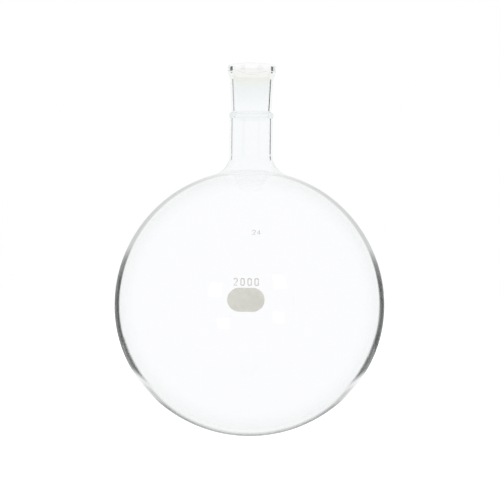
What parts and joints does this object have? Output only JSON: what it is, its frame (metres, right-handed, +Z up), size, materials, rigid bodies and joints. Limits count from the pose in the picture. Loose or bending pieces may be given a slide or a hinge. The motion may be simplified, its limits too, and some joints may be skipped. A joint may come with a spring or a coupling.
{
  "type": "round bottom flask",
  "caption": "Round-bottom boiling flask of clear borosilicate glass with one short neck, a flanged ground socket joint and a white enamel writing field.",
  "frame": {"origin": "lowest point of the round body, on the axis of the neck", "axes": "+Z up the axis of the neck, from the body towards the mouth; -Y towards the front, which carries the writing field; +X to the right as seen from the front"},
  "size_m": [0.166, 0.1661, 0.2284],
  "materials": {
    "clear_glass": "clear blown borosilicate glass, fire-polished rim",
    "white_enamel": "fired enamel print, slightly matt"
  },
  "bodies": {
    "root": {"flask": "clear_glass", "writing_field": "white_enamel"}
  },
  "joints": []
}
